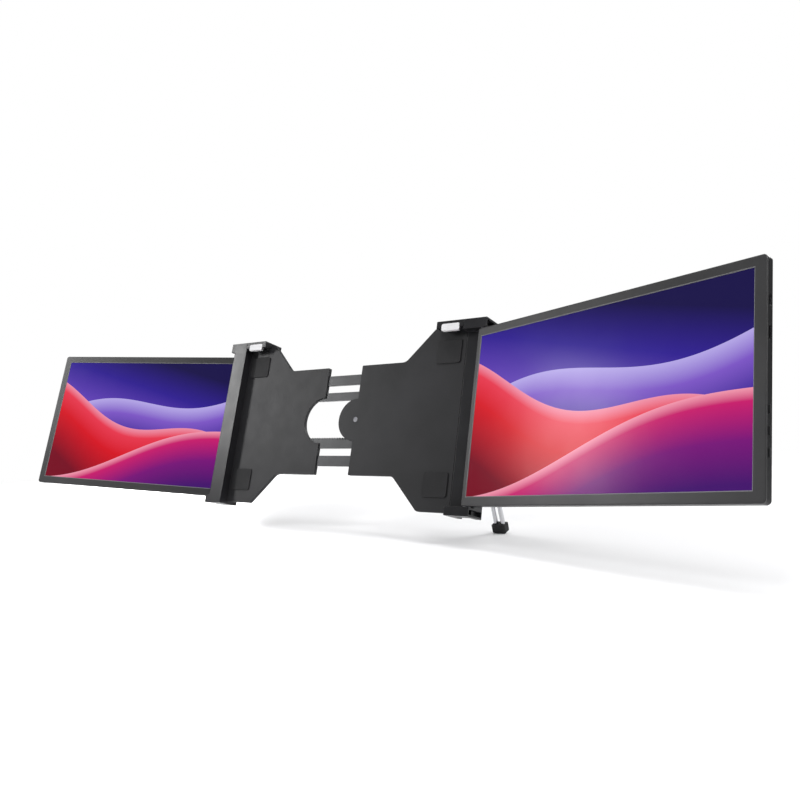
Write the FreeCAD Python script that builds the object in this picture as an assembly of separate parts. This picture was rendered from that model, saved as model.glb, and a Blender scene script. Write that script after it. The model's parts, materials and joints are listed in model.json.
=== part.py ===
import FreeCAD, Part
import math
import os

# Clip-on twin display bracket: two sliding plates carry a hinge post each,
# every post holds a folding display, and one post has a telescoping kickstand.
# Local frame: X to the user's right, Y away from the user, Z up along the panel
# that the bracket hangs on. All pieces are leaned back together at the end.

# Posture shown
RECLINE = 16.0
RIGHT_SCREEN_TURN = 17.0
LEFT_SCREEN_TURN = 13.5
LEG_TURN = 33.0
LEG_REACH = 28.0

# Displays
ACTIVE_WIDTH = 293.76
ACTIVE_HEIGHT = 165.24
HINGE_BEZEL = 6.0
OUTER_BEZEL = 10.24
TOP_BEZEL = 9.2
BOTTOM_BEZEL = 9.56
SCREEN_THICK = 8.5
CASE_CORNER = 3.5
CASE_EDGE = 0.9
CASE_WALL = 1.6
BEZEL_THICK = 1.5
GLASS_RECESS = 0.5
MODULE_THICK = 2.3
WINDOW_CLEAR = 0.15
BUTTON_ROUND = 1.1
BUTTON_LONG = 6.4
BUTTON_DEPTH = 2.4
BUTTON_PROUD = 0.5
BUTTON_CLEAR = 0.2
HINGE_CORNER = 1.2
BEZEL_EDGE = 0.85
HOLLOW_ROUND = 0.8
SLOT_Y = 0.4
SLOT_HEIGHT = 3.4
SLOT_DEPTH = 3.0
PORT_WALL = 0.5
PORT_DEPTH = 5.4
PORT_SINK = 0.4
TONGUE_INSET = 1.8
TONGUE_THICK = 0.7
USB_LONG = 9.2
VIDEO_LONG = 11.4
MODULE_INSET = 2.5
BOARD_WIDTH = 70.0
BOARD_THICK = 1.2
BOARD_INSET = 4.0
BOARD_SHORT = 6.62
BOSS_RADIUS = 2.0
BOSS_INSET = 6.0

# Stack through the bracket
LAYER_CLEAR = 0.5
PAD_PROUD = 1.0
PLATE_THICK = 5.0
COVER_THICK = 1.25
DISC_PROUD = 3.0

# Posts
POST_INNER = 162.5
POST_WIDTH = 28.0
TOP_EAR = 11.0
BOTTOM_EAR = 9.0
EAR_CLEAR = 0.75
EAR_WALL = 2.0
NECK_WIDTH = 21.2
PIVOT_INSET = 4.5
POST_EDGE = 0.8
NECK_FILLET = 3.0

# Hooks over the panel's top edge
PANEL_THICK = 5.5
HOOK_REACH = 33.5
HOOK_WALL = 3.0
LIP_WIDTH = 21.0
LIP_DROP = 3.5
LIP_WALL = 2.4
SLEEVE = 0.8
TAIL_DEPTH = 0.5
SLEEVE_ROUND = 2.0
TAIL_INSET = 1.0
SCREW_RADIUS = 1.6
SCREW_PITCH = 17.5
SCREW_FROM_POST = 7.5
SCREW_SINK = 0.4
SOCKET_DEPTH = 1.0

# Plates
GAP_AT_REST = 50.0
NECK_HALF = 63.5
PLATE_UNDER_ROOF = 0.25
SHOULDER_X = 86.0
DIAGONAL_END_X = 122.0
SHOULDER_ROUND = 11.0
CORNER_ROUND = 5.0
COVER_BEVEL = 0.8
PLATE_TIP_ROUND = 1.0
PAD_ROUND = 3.0
RECESS_RADIUS = 27.0

# Straps
STRAP_THICK = 2.4
INNER_HIGH = 33.0
OUTER_LOW = 41.5
OUTER_HIGH = 53.5
STRAP_ANCHOR = 60.0
STRAP_ENGAGED = 76.0
STRAP_CLEAR = 0.12
STRAP_ROUND = 1.0

# Rack, pinion and disc
MODULE = 1.2
PINION_TEETH = 36
BACKLASH = 0.45
TIP_CUT = 0.1
ROOT_DEPTH = 1.25
PRESSURE_ANGLE = 20.0
WHEEL_CLEAR = 0.4
WHEEL_HOLES = 3
WHEEL_HOLE_RADIUS = 3.6
WHEEL_HOLE_PITCH = 12.0
DISC_RADIUS = 24.5
CAP_RADIUS = 22.6
CAP_PROUD = 0.4
CAP_SINK = 1.2
DISC_EDGE = 0.7
CAP_EDGE = 0.3
AXLE_RADIUS = 3.0
RUN_FIT = 0.06
SEAT_RING = 1.8

# Kickstand
LEG_WIDTH = 15.6
LEG_THICK = 11.0
LEG_LENGTH = 106.0
LEG_PIVOT_Z = 9.0
LEG_SIDE_CLEAR = 0.4
LEG_FLOOR_CLEAR = 0.5
LEG_SINK = 0.3
LEG_EDGE = 0.8
LEG_INNER_WALL = 5.2
LEG_PIN_RADIUS = 1.75
ROD_RADIUS = 2.5
ROD_PITCH = 8.2
ROD_INSIDE = 45.0
FOOT_HEIGHT = 9.5
FOOT_ROUND = 2.0
LOCK_RADIUS = 3.4
LOCK_FROM_END = 21.0
LOCK_PROUD = 0.5
LOCK_TRAVEL = 1.0
LOCK_CLEAR = 0.2
LOCK_EDGE = 0.3
NOTCH_HEIGHT = 9.0
NOTCH_FROM_END = 16.0
DIMPLE_RADIUS = 1.3

# Hinge pins
PIN_RADIUS = 1.8
PIN_SHOULDER = 4.0
PIN_COLLAR = 2.6
PIN_DEPTH = 14.0
COLLAR_THICK = 2.0
PIN_FIT = 0.05
SHOULDER_CLEAR = 0.1

# Values worked out from the sizes above
SCREEN_WIDTH = HINGE_BEZEL + ACTIVE_WIDTH + OUTER_BEZEL
SCREEN_HEIGHT = BOTTOM_BEZEL + ACTIVE_HEIGHT + TOP_BEZEL
HALF_THICK = SCREEN_THICK / 2
POST_HEIGHT = BOTTOM_EAR + SCREEN_HEIGHT + TOP_EAR + 2 * EAR_CLEAR
POST_TOP = POST_HEIGHT / 2
POST_BOTTOM = -POST_TOP
POST_OUTER = POST_INNER + POST_WIDTH
EAR_TOP_UNDER = POST_TOP - TOP_EAR
EAR_BOTTOM_OVER = POST_BOTTOM + BOTTOM_EAR
PANEL_EDGE_Z = EAR_TOP_UNDER + LIP_DROP
PLATE_HALF = POST_TOP - HOOK_WALL - PLATE_UNDER_ROOF
SCREEN_TOP = EAR_TOP_UNDER - EAR_CLEAR
SCREEN_BOTTOM = EAR_BOTTOM_OVER + EAR_CLEAR
PLATE_FRONT = PAD_PROUD
PLATE_REAR = PLATE_FRONT + PLATE_THICK
COVER_FRONT = PLATE_REAR - COVER_THICK
DISC_REAR = PLATE_REAR + DISC_PROUD
FRONT_PIVOT_Y = -(LAYER_CLEAR + HALF_THICK)
REAR_PIVOT_Y = DISC_REAR + LAYER_CLEAR + HALF_THICK
EAR_FRONT = FRONT_PIVOT_Y - HALF_THICK - LAYER_CLEAR
EAR_REAR = REAR_PIVOT_Y + HALF_THICK + LAYER_CLEAR
PIVOT_X = POST_OUTER - PIVOT_INSET
PLATE_EDGE = GAP_AT_REST / 2
STRAP_FRONT = COVER_FRONT - STRAP_CLEAR - STRAP_THICK
PITCH = math.pi * MODULE
PITCH_RADIUS = MODULE * PINION_TEETH / 2
INNER_LOW = PITCH_RADIUS + MODULE + WHEEL_CLEAR
LEG_MID_Y = EAR_REAR - LEG_SINK - LEG_THICK / 2
SLOT_FLOOR = LEG_MID_Y - LEG_THICK / 2 - LEG_FLOOR_CLEAR
SLOT_INNER = POST_INNER + LEG_INNER_WALL
LEG_INNER = SLOT_INNER + LEG_SIDE_CLEAR
LEG_MID_X = LEG_INNER + LEG_WIDTH / 2
SLOT_OUTER = LEG_INNER + LEG_WIDTH + LEG_SIDE_CLEAR
LEG_TOP = LEG_PIVOT_Z + LEG_THICK / 2
LEG_END = LEG_TOP - LEG_LENGTH

UP = FreeCAD.Vector(0, 0, 1)
RIGHT = FreeCAD.Vector(1, 0, 0)
REARWARD = FreeCAD.Vector(0, 1, 0)
ORIGIN = FreeCAD.Vector(0, 0, 0)


def vec(x, y, z):
    return FreeCAD.Vector(x, y, z)


def block(x0, x1, y0, y1, z0, z1):
    corner = vec(min(x0, x1), min(y0, y1), min(z0, z1))
    return Part.makeBox(abs(x1 - x0), abs(y1 - y0), abs(z1 - z0), corner)


def rod(radius, start, end):
    axis = end.sub(start)
    return Part.makeCylinder(radius, axis.Length, start, axis)


# A closed outline in the XZ plane, with each corner rounded by its own radius
def outline_xz(points, radii, y):
    count = len(points)
    edges = []
    starts = []
    ends = []
    for i in range(count):
        here = vec(points[i][0], y, points[i][1])
        before = vec(points[i - 1][0], y, points[i - 1][1])
        after = vec(points[(i + 1) % count][0], y, points[(i + 1) % count][1])
        to_before = before.sub(here).normalize()
        to_after = after.sub(here).normalize()
        if radii[i] <= 0:
            starts.append(here)
            ends.append(here)
            edges.append(None)
            continue
        half = to_before.getAngle(to_after) / 2
        reach = radii[i] / math.tan(half)
        first = here.add(vec(*to_before).multiply(reach))
        last = here.add(vec(*to_after).multiply(reach))
        inward = to_before.add(to_after).normalize()
        centre = here.add(inward.multiply(radii[i] / math.sin(half)))
        middle = centre.add(here.sub(centre).normalize().multiply(radii[i]))
        starts.append(first)
        ends.append(last)
        edges.append(Part.Arc(first, middle, last).toShape())
    path = []
    for i in range(count):
        if edges[i] is not None:
            path.append(edges[i])
        begin = ends[i]
        finish = starts[(i + 1) % count]
        if begin.distanceToPoint(finish) > 1e-6:
            path.append(Part.makeLine(begin, finish))
    return Part.Wire(Part.__sortEdges__(path))


def slab_xz(points, radii, y0, y1):
    face = Part.Face(outline_xz(points, radii, y0))
    return face.extrude(vec(0, y1 - y0, 0))


def rectangle(x0, x1, z0, z1):
    return [(x0, z0), (x1, z0), (x1, z1), (x0, z1)]


def edges_where(shape, test):
    return [edge for edge in shape.Edges if test(edge)]


# True for an edge whose every point lies on the plane y = value
def on_y(edge, value):
    box = edge.BoundBox
    return abs(box.YMin - value) < 1e-4 and abs(box.YMax - value) < 1e-4


def along_z(edge):
    box = edge.BoundBox
    return box.XLength < 1e-4 and box.YLength < 1e-4


def mirrored(shape):
    return shape.mirror(ORIGIN, RIGHT)


# Ear at one end of a post, hollow and open at its outer end
def ear(z0, z1):
    solid = block(POST_INNER, POST_OUTER, EAR_FRONT, EAR_REAR, z0, z1)
    solid = solid.makeFillet(POST_EDGE, edges_where(solid, along_z))
    cavity = block(POST_INNER + 2 * EAR_WALL, POST_OUTER + 1,
                   EAR_FRONT + EAR_WALL, EAR_REAR - EAR_WALL,
                   z0 + EAR_WALL, z1 - EAR_WALL)
    return solid.cut(cavity)


def pin_holes(pivot_y):
    top = rod(PIN_RADIUS + PIN_FIT, vec(PIVOT_X, pivot_y, EAR_TOP_UNDER - 1),
              vec(PIVOT_X, pivot_y, EAR_TOP_UNDER + EAR_WALL + 1))
    low = rod(PIN_RADIUS + PIN_FIT, vec(PIVOT_X, pivot_y, EAR_BOTTOM_OVER - EAR_WALL - 1),
              vec(PIVOT_X, pivot_y, EAR_BOTTOM_OVER + 1))
    return top.fuse(low)


# Arm of the post that the hook is screwed onto
def hook_tongue():
    inner = POST_INNER - HOOK_REACH + EAR_WALL
    return block(inner, POST_INNER + EAR_WALL, PLATE_REAR + LAYER_CLEAR * 2,
                 EAR_REAR - HOOK_WALL - RUN_FIT, EAR_TOP_UNDER + EAR_WALL,
                 POST_TOP - HOOK_WALL)


def screw_places():
    first = POST_INNER - SCREW_FROM_POST
    return [first, first - SCREW_PITCH]


def screw_z():
    return (EAR_TOP_UNDER + POST_TOP) / 2


def screw_holes():
    holes = None
    for x in screw_places():
        hole = rod(SCREW_RADIUS, vec(x, LEG_MID_Y - 2, screw_z()),
                   vec(x, EAR_REAR + 1, screw_z()))
        holes = hole if holes is None else holes.fuse(hole)
    return holes


def leg_slot():
    top = LEG_TOP + LEG_FLOOR_CLEAR * 2
    return block(SLOT_INNER, SLOT_OUTER, SLOT_FLOOR, EAR_REAR + 1, POST_BOTTOM - 1, top)


def make_right_post():
    body = block(POST_INNER, POST_OUTER, PLATE_FRONT, EAR_REAR,
                 EAR_BOTTOM_OVER - EAR_WALL, EAR_TOP_UNDER + EAR_WALL)
    body = body.makeFillet(POST_EDGE, edges_where(body, along_z))
    post = body.fuse([ear(EAR_TOP_UNDER, POST_TOP), ear(POST_BOTTOM, EAR_BOTTOM_OVER),
                      hook_tongue()]).removeSplitter()
    sill = block(SLOT_INNER - EAR_WALL, SLOT_OUTER + EAR_WALL, SLOT_FLOOR - EAR_WALL,
                 EAR_REAR - POST_EDGE, POST_BOTTOM + POST_EDGE, EAR_BOTTOM_OVER)
    post = post.fuse(sill)
    notch_z = POST_BOTTOM + NOTCH_FROM_END
    notch = block(SLOT_OUTER - 1, POST_OUTER + 1, LEG_MID_Y, EAR_REAR + 1,
                  notch_z, notch_z + NOTCH_HEIGHT)
    dimple = Part.makeSphere(DIMPLE_RADIUS, vec(LEG_MID_X + LEG_WIDTH / 4, SLOT_FLOOR,
                                                POST_BOTTOM + BOTTOM_EAR))
    pivot = rod(LEG_PIN_RADIUS, vec(SLOT_INNER - LEG_INNER_WALL / 2, LEG_MID_Y, LEG_PIVOT_Z),
                vec(POST_OUTER - EAR_WALL, LEG_MID_Y, LEG_PIVOT_Z))
    post = post.cut(leg_slot()).cut([notch, dimple, pivot, pin_holes(FRONT_PIVOT_Y), screw_holes()])
    return post.removeSplitter()


def make_left_post():
    neck = block(POST_INNER, POST_INNER + NECK_WIDTH, EAR_FRONT, COVER_FRONT,
                 EAR_BOTTOM_OVER - EAR_WALL, EAR_TOP_UNDER + EAR_WALL)
    post = neck.fuse([ear(EAR_TOP_UNDER, POST_TOP), ear(POST_BOTTOM, EAR_BOTTOM_OVER),
                      hook_tongue()]).removeSplitter()

    def inside_corner(edge):
        box = edge.BoundBox
        level = abs(box.ZMin - EAR_TOP_UNDER) < 1e-4 or abs(box.ZMin - EAR_BOTTOM_OVER) < 1e-4
        return level and box.ZLength < 1e-4 and abs(box.XMin - POST_INNER - NECK_WIDTH) < 1e-4 \
            and box.XLength < 1e-4

    post = post.makeFillet(NECK_FILLET, edges_where(post, inside_corner))
    return post.cut([pin_holes(REAR_PIVOT_Y), screw_holes()])


# Hook: channel over the post's tongue, with a front lip that drops over the panel
def make_hook():
    inner = POST_INNER - HOOK_REACH
    lip_end = POST_INNER - HOOK_REACH / 6
    under = PANEL_EDGE_Z
    bridge = block(inner, POST_INNER, EAR_FRONT, PLATE_FRONT - LAYER_CLEAR, under, POST_TOP)
    roof = block(inner, POST_INNER, EAR_FRONT, EAR_REAR, POST_TOP - HOOK_WALL + STRAP_CLEAR,
                 POST_TOP)
    back = block(inner, POST_INNER, EAR_REAR - HOOK_WALL, EAR_REAR, EAR_TOP_UNDER, POST_TOP)
    lip = block(lip_end - LIP_WIDTH, lip_end, EAR_FRONT + SLEEVE, EAR_FRONT + SLEEVE + LIP_WALL,
                EAR_TOP_UNDER + SLEEVE, POST_TOP - HOOK_WALL)
    seat = block(lip_end - LIP_WIDTH - SLEEVE, lip_end + SLEEVE, EAR_FRONT - 1, EAR_FRONT + SLEEVE,
                 EAR_TOP_UNDER - 1, POST_TOP - HOOK_WALL)
    tail_start = EAR_FRONT + SLEEVE + LIP_WALL
    groove = block(lip_end - LIP_WIDTH - SLEEVE, lip_end + SLEEVE, tail_start - SLEEVE,
                   tail_start + SLEEVE, under - 1, under + TAIL_DEPTH)
    hook = bridge.cut(groove).fuse([roof, back]).removeSplitter()

    def outer_edge(edge):
        box = edge.BoundBox
        return abs(box.XMin - inner) < 1e-4 and box.XLength < 1e-4 \
            and (abs(box.ZMin - POST_TOP) < 1e-4 or along_z(edge) and abs(box.YMin - EAR_REAR) < 1e-4)

    hook = hook.makeFillet(POST_EDGE, edges_where(hook, outer_edge))
    hook = hook.cut(seat).fuse(lip).removeSplitter()
    holes = None
    for x in screw_places():
        hole = rod(SCREW_RADIUS, vec(x, EAR_REAR - HOOK_WALL - 1, screw_z()),
                   vec(x, EAR_REAR + 1, screw_z()))
        holes = hole if holes is None else holes.fuse(hole)
    return hook.cut(holes)


# Soft sleeve round the hook's lip
def make_lip_sleeve():
    lip_end = POST_INNER - HOOK_REACH / 6
    x0 = lip_end - LIP_WIDTH - SLEEVE + STRAP_CLEAR
    x1 = lip_end + SLEEVE - STRAP_CLEAR
    low = EAR_TOP_UNDER
    front = slab_xz(rectangle(x0, x1, low, POST_TOP - HOOK_WALL - STRAP_CLEAR),
                    [SLEEVE_ROUND] * 4, EAR_FRONT, EAR_FRONT + SLEEVE)
    tail = block(x0 + TAIL_INSET, x1 - TAIL_INSET, EAR_FRONT + SLEEVE, EAR_FRONT + 2 * SLEEVE + LIP_WALL,
                 low + SLEEVE / 8, PANEL_EDGE_Z + TAIL_DEPTH)
    core = block(lip_end - LIP_WIDTH, lip_end, EAR_FRONT + SLEEVE,
                 EAR_FRONT + SLEEVE + LIP_WALL, low + SLEEVE, POST_TOP)
    return front.fuse(tail).cut(core).removeSplitter()


# Two button-head screws with a driver socket
def make_hook_screws():
    parts = []
    for x in screw_places():
        shank = rod(SCREW_RADIUS, vec(x, LEG_MID_Y - 1, screw_z()),
                    vec(x, EAR_REAR - SCREW_SINK, screw_z()))
        socket = rod(SCREW_RADIUS / 2, vec(x, EAR_REAR - SCREW_SINK - SOCKET_DEPTH, screw_z()),
                     vec(x, EAR_REAR, screw_z()))
        parts.append(shank.cut(socket))
    return Part.makeCompound(parts)


def plate_points(outer):
    return [(PLATE_EDGE, -NECK_HALF), (SHOULDER_X, -NECK_HALF), (DIAGONAL_END_X, -PLATE_HALF),
            (outer, -PLATE_HALF), (outer, PLATE_HALF), (DIAGONAL_END_X, PLATE_HALF),
            (SHOULDER_X, NECK_HALF), (PLATE_EDGE, NECK_HALF)]


PLATE_RADII = [PLATE_TIP_ROUND, SHOULDER_ROUND, CORNER_ROUND, 0, 0, CORNER_ROUND, SHOULDER_ROUND,
               PLATE_TIP_ROUND]


def lobe(radius, y0, y1):
    return rod(radius, vec(PLATE_EDGE, y0, 0), vec(PLATE_EDGE, y1, 0))


def recess(radius):
    return rod(radius, vec(PLATE_EDGE, PLATE_FRONT - 1, 0), vec(PLATE_EDGE, DISC_REAR, 0))


# Channels that the four straps lie in
def channels(x0, x1, rack_side):
    front = STRAP_FRONT - STRAP_CLEAR
    cuts = []
    for sign in (-1, 1):
        low = INNER_LOW - STRAP_CLEAR
        if sign == rack_side:
            low = PITCH_RADIUS - MODULE - STRAP_CLEAR
        cuts.append(block(x0, x1, front, COVER_FRONT + 1, sign * low,
                          sign * (INNER_HIGH + STRAP_CLEAR)))
        cuts.append(block(x0, x1, front, COVER_FRONT + 1, sign * (OUTER_LOW - STRAP_CLEAR),
                          sign * (OUTER_HIGH + STRAP_CLEAR)))
    return cuts


def make_right_tray():
    tray = slab_xz(plate_points(POST_INNER), PLATE_RADII, PLATE_FRONT, COVER_FRONT)
    tray = tray.fuse(lobe(DISC_RADIUS, PLATE_FRONT, COVER_FRONT)).removeSplitter()
    pocket = lobe(PITCH_RADIUS + MODULE + WHEEL_CLEAR, STRAP_FRONT - STRAP_CLEAR, COVER_FRONT + 1)
    hub = rod(AXLE_RADIUS, vec(PLATE_EDGE, PLATE_FRONT - 1, 0), vec(PLATE_EDGE, COVER_FRONT, 0))
    tray = tray.cut(channels(PLATE_EDGE - DISC_RADIUS - 1, POST_INNER - LEG_INNER_WALL, -1))
    return tray.cut([pocket, hub])


def make_left_tray():
    tray = slab_xz(plate_points(POST_INNER), PLATE_RADII, PLATE_FRONT, COVER_FRONT)
    tray = tray.cut(recess(RECESS_RADIUS))
    tray = tray.cut(channels(PLATE_EDGE - 1, POST_INNER - LEG_INNER_WALL, -1))
    return tray


def bevel_rear(shape):
    def rim(edge):
        return on_y(edge, PLATE_REAR) and edge.BoundBox.XMax < POST_INNER - 1e-3
    return shape.makeChamfer(COVER_BEVEL, edges_where(shape, rim))


def make_right_cover():
    cover = slab_xz(plate_points(POST_INNER), PLATE_RADII, COVER_FRONT, PLATE_REAR)
    cover = cover.fuse(lobe(DISC_RADIUS, COVER_FRONT, PLATE_REAR)).removeSplitter()
    cover = bevel_rear(cover)
    ring = lobe(DISC_RADIUS + SEAT_RING, PLATE_REAR - COVER_BEVEL / 2, PLATE_REAR + 1)
    hub = rod(AXLE_RADIUS, vec(PLATE_EDGE, COVER_FRONT - 1, 0), vec(PLATE_EDGE, PLATE_REAR + 1, 0))
    return cover.cut([ring, hub])


# The left cover runs on over the post's neck, up to the display's edge
def make_left_cover():
    cover = slab_xz(plate_points(POST_INNER), PLATE_RADII, COVER_FRONT, PLATE_REAR)
    cover = cover.cut(recess(RECESS_RADIUS))
    cover = bevel_rear(cover)
    wing = block(POST_INNER, POST_INNER + NECK_WIDTH, COVER_FRONT, PLATE_REAR,
                 EAR_BOTTOM_OVER + EAR_CLEAR / 3, EAR_TOP_UNDER - EAR_CLEAR / 3)
    return cover.fuse(wing).removeSplitter()


# Thin soft pads on the plate's front face, against the panel's back
def make_back_pads():
    x0 = DIAGONAL_END_X + CORNER_ROUND
    x1 = POST_INNER - LEG_INNER_WALL
    parts = []
    for sign in (-1, 1):
        z0 = sign * (NECK_HALF - CORNER_ROUND)
        z1 = sign * (PLATE_HALF - 3 * CORNER_ROUND)
        points = rectangle(x0, x1, min(z0, z1), max(z0, z1))
        parts.append(slab_xz(points, [PAD_ROUND] * 4, 0, PLATE_FRONT))
    return Part.makeCompound(parts)


def strap_block(z0, z1):
    return block(-PLATE_EDGE - STRAP_ENGAGED, PLATE_EDGE + STRAP_ANCHOR,
                 STRAP_FRONT, STRAP_FRONT + STRAP_THICK, z0, z1)


def round_ends(shape, radius):
    across = edges_where(shape, lambda e: e.BoundBox.XLength < 1e-4 and e.BoundBox.ZLength < 1e-4)
    return shape.makeFillet(radius, across)


# Rack along the top edge of the left half's lower inner strap
def make_rack_strap():
    x0 = -PLATE_EDGE - STRAP_ANCHOR
    x1 = PLATE_EDGE + STRAP_ENGAGED
    pitch_z = -PITCH_RADIUS
    root = pitch_z - ROOT_DEPTH * MODULE
    tip = pitch_z + MODULE - TIP_CUT
    strap = block(x0, x1, STRAP_FRONT, STRAP_FRONT + STRAP_THICK, -INNER_HIGH, root)
    strap = round_ends(strap, STRAP_ROUND)
    half_pitch_line = (PITCH - BACKLASH) / 4
    slope = math.tan(math.radians(PRESSURE_ANGLE))
    first = math.ceil((x0 + PITCH - PLATE_EDGE) / PITCH - 0.5)
    last = math.floor((x1 - PITCH - PLATE_EDGE) / PITCH - 0.5)
    parts = [strap]
    for i in range(first, last + 1):
        centre = PLATE_EDGE + (i + 0.5) * PITCH
        foot_half = half_pitch_line + (pitch_z - root) * slope
        tip_half = half_pitch_line - (tip - pitch_z) * slope
        corners = [(centre - foot_half, root - TIP_CUT), (centre + foot_half, root - TIP_CUT),
                   (centre + foot_half, root), (centre + tip_half, tip),
                   (centre - tip_half, tip), (centre - foot_half, root)]
        parts.append(slab_xz(corners, [0] * 6, STRAP_FRONT, STRAP_FRONT + STRAP_THICK))
    return parts[0].multiFuse(parts[1:]).removeSplitter()


def make_pinion():
    root_radius = PITCH_RADIUS - ROOT_DEPTH * MODULE
    tip_radius = PITCH_RADIUS + MODULE - TIP_CUT
    half_tooth = (PITCH - BACKLASH) / 4
    slope = math.tan(math.radians(PRESSURE_ANGLE))
    root_half = (half_tooth + ROOT_DEPTH * MODULE * slope) / root_radius
    pitch_half = half_tooth / PITCH_RADIUS
    tip_half = (half_tooth - MODULE * slope) / tip_radius
    points = []
    for i in range(PINION_TEETH):
        centre = -math.pi / 2 + i * 2 * math.pi / PINION_TEETH
        flank = [(root_radius, -root_half), (PITCH_RADIUS, -pitch_half), (tip_radius, -tip_half),
                 (tip_radius, tip_half), (PITCH_RADIUS, pitch_half), (root_radius, root_half)]
        for radius, turn in flank:
            angle = centre + turn
            points.append((PLATE_EDGE + radius * math.cos(angle), radius * math.sin(angle)))
    wheel = slab_xz(points, [0] * len(points), STRAP_FRONT, STRAP_FRONT + STRAP_THICK)
    bore = rod(AXLE_RADIUS + RUN_FIT, vec(PLATE_EDGE, 0, 0), vec(PLATE_EDGE, PLATE_REAR, 0))
    lightening = []
    for i in range(WHEEL_HOLES):
        angle = i * 2 * math.pi / WHEEL_HOLES
        x = PLATE_EDGE + WHEEL_HOLE_PITCH * math.cos(angle)
        z = WHEEL_HOLE_PITCH * math.sin(angle)
        lightening.append(rod(WHEEL_HOLE_RADIUS, vec(x, 0, z), vec(x, PLATE_REAR, z)))
    return wheel.cut([bore] + lightening)


# Round housing on the plate's rear face, with a dished seat for the cap
def make_disc_ring():
    ring = lobe(DISC_RADIUS, PLATE_REAR - COVER_BEVEL / 2, DISC_REAR)
    rim = edges_where(ring, lambda e: on_y(e, DISC_REAR))
    ring = ring.makeFillet(DISC_EDGE, rim)
    seat = lobe(CAP_RADIUS + RUN_FIT, DISC_REAR - CAP_SINK, DISC_REAR + 1)
    hub = rod(AXLE_RADIUS, vec(PLATE_EDGE, 0, 0), vec(PLATE_EDGE, DISC_REAR + 1, 0))
    return ring.cut([seat, hub])


def make_disc_cap():
    cap = lobe(CAP_RADIUS, DISC_REAR - CAP_SINK, DISC_REAR - CAP_SINK + CAP_PROUD * 2)
    rim = edges_where(cap, lambda e: on_y(e, DISC_REAR - CAP_SINK + CAP_PROUD * 2))
    return cap.makeFillet(CAP_EDGE, rim)


def make_axle():
    return rod(AXLE_RADIUS, vec(PLATE_EDGE, PLATE_FRONT, 0),
               vec(PLATE_EDGE, DISC_REAR - CAP_SINK, 0))


# Display casing in its own frame: pivot on the Z axis, outward +X, front -Y
def case_points(margin):
    u0 = -HALF_THICK + margin
    u1 = SCREEN_WIDTH - HALF_THICK - margin
    return rectangle(u0, u1, SCREEN_BOTTOM + margin, SCREEN_TOP - margin)


def active_box(clear, y0, y1):
    u0 = HINGE_BEZEL - HALF_THICK - clear
    z0 = SCREEN_BOTTOM + BOTTOM_BEZEL - clear
    return block(u0, u0 + ACTIVE_WIDTH + 2 * clear, y0, y1, z0, z0 + ACTIVE_HEIGHT + 2 * clear)


CASE_RADII = [HINGE_CORNER, CASE_CORNER, CASE_CORNER, HINGE_CORNER]
BEZEL_REAR = -HALF_THICK + BEZEL_THICK
GLASS_FRONT = -HALF_THICK + GLASS_RECESS
MODULE_FRONT = BEZEL_REAR + 0.05
INNER_START = HALF_THICK + 0.35
INNER_END = SCREEN_WIDTH - HALF_THICK - CASE_WALL
PORT_PLACES = [(0.339 * ACTIVE_HEIGHT, USB_LONG), (0.1876 * ACTIVE_HEIGHT, VIDEO_LONG)]
BUTTON_PLACES = [-0.1573 * ACTIVE_HEIGHT, -0.2512 * ACTIVE_HEIGHT, -0.345 * ACTIVE_HEIGHT]
BOARD_FRONT = MODULE_FRONT + MODULE_THICK + BUTTON_CLEAR
BOARD_REAR = BOARD_FRONT + BOARD_THICK
BOARD_END = INNER_END - BOARD_INSET
BOARD_HALF = ACTIVE_HEIGHT / 2 - BOARD_SHORT


def edge_cut(z, length, height, depth):
    u1 = SCREEN_WIDTH - HALF_THICK
    y0 = SLOT_Y - height / 2
    y1 = SLOT_Y + height / 2
    points = [(y0, z - length / 2), (y1, z - length / 2), (y1, z + length / 2), (y0, z + length / 2)]
    first = [vec(u1 - depth, y, zz) for y, zz in points]
    wire = Part.makePolygon(first + [first[0]])
    solid = Part.Face(wire).extrude(vec(depth + 1, 0, 0))
    long_edges = edges_where(solid, lambda e: e.BoundBox.XLength > depth)
    return solid.makeFillet(height / 2 - 0.05, long_edges)


def make_back_cover():
    body = slab_xz(case_points(0), CASE_RADII, BEZEL_REAR, HALF_THICK)
    rear_rim = edges_where(body, lambda e: on_y(e, HALF_THICK))
    body = body.makeFillet(CASE_EDGE, rear_rim)
    hollow = slab_xz(rectangle(INNER_START, INNER_END, SCREEN_BOTTOM + CASE_WALL,
                               SCREEN_TOP - CASE_WALL), [HOLLOW_ROUND] * 4,
                     BEZEL_REAR - 1, HALF_THICK - CASE_WALL)
    body = body.cut(hollow)
    for z in (SCREEN_TOP - PIN_DEPTH, SCREEN_BOTTOM):
        body = body.cut(rod(PIN_RADIUS + PIN_FIT, vec(0, 0, z), vec(0, 0, z + PIN_DEPTH)))
    for z, length in PORT_PLACES:
        body = body.cut(edge_cut(z, length, SLOT_HEIGHT, SLOT_DEPTH))
    for z in BUTTON_PLACES:
        body = body.cut(edge_cut(z, BUTTON_LONG + 2 * BUTTON_CLEAR,
                                 2 * (BUTTON_ROUND + BUTTON_CLEAR), SLOT_DEPTH))
    for u, z in board_bosses():
        boss = rod(BOSS_RADIUS, vec(u, BOARD_REAR, z), vec(u, HALF_THICK - CASE_WALL, z))
        body = body.fuse(boss)
    return body


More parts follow.
